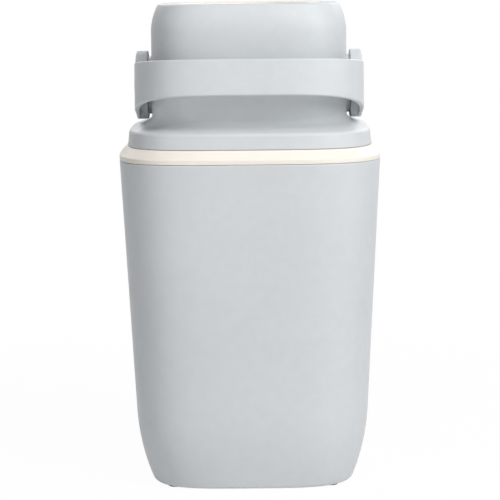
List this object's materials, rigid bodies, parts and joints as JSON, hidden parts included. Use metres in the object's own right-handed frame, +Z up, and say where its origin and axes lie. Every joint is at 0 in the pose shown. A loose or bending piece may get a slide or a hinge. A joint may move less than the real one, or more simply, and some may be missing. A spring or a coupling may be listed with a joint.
{
  "type": "nappy bin",
  "caption": "Nappy bin: tapered squircle bucket, clamping bag ring and hinged head whose rotary drum, flipped by a U handle, drops nappies into the bag.",
  "frame": {"origin": "on the floor, under the middle of the bucket", "axes": "+Z up, -Y to the front, where the handle is at rest, and +X to the right as seen from the front"},
  "size_m": [0.2734, 0.2734, 0.5013],
  "materials": {
    "shell_grey": "satin moulded",
    "cap_grey": "satin moulded",
    "ring_cream": "satin moulded",
    "drum_grey": "semi-gloss moulded",
    "bearing_white": "low-friction moulded",
    "steel": "zinc plated",
    "seal_rubber": "soft seal",
    "dark_rubber": "matte"
  },
  "bodies": {
    "bucket": {"bucket": "shell_grey", "foot_pads": "dark_rubber"},
    "bag_ring": {"bag_ring": "ring_cream", "hinge_pin": "steel"},
    "head": {"head_shell": "shell_grey", "throat_collar": "ring_cream", "upper_seal": "seal_rubber", "head_base": "shell_grey", "lower_seal": "seal_rubber", "head_gasket": "seal_rubber", "base_screws": "steel", "pivot_bush_left": "bearing_white", "pivot_bush_right": "bearing_white"},
    "drum": {"drum_upper_shell": "drum_grey", "drum_lower_shell": "drum_grey", "well_sleeve": "ring_cream", "pivot_hub_left": "bearing_white", "pivot_hub_right": "bearing_white", "hub_screws": "steel", "handle": "shell_grey", "handle_screws": "steel", "handle_cap_left": "cap_grey", "handle_cap_right": "cap_grey"},
    "piston": {"piston_cup": "drum_grey", "piston_weight": "steel", "piston_cover": "drum_grey", "piston_wiper": "dark_rubber"}
  },
  "joints": [
    {"name": "bag_ring_lift", "type": "slide", "parent": "bucket", "child": "bag_ring", "axis": [0, 0, 1], "range_m": [0, 0.06]},
    {"name": "head_hinge", "type": "hinge", "parent": "bag_ring", "child": "head", "pos_m": [0, 0.1322, 0.362], "axis": [-1, 0, 0], "range_deg": [0, 82]},
    {"name": "handle_flip", "type": "hinge", "parent": "head", "child": "drum", "pos_m": [0, 0, 0.4156], "axis": [-1, 0, 0], "range_deg": [0, 180]},
    {"name": "piston_drop", "type": "slide", "parent": "drum", "child": "piston", "axis": [0, 0, 1], "range_m": [0, 0.0744]}
  ]
}
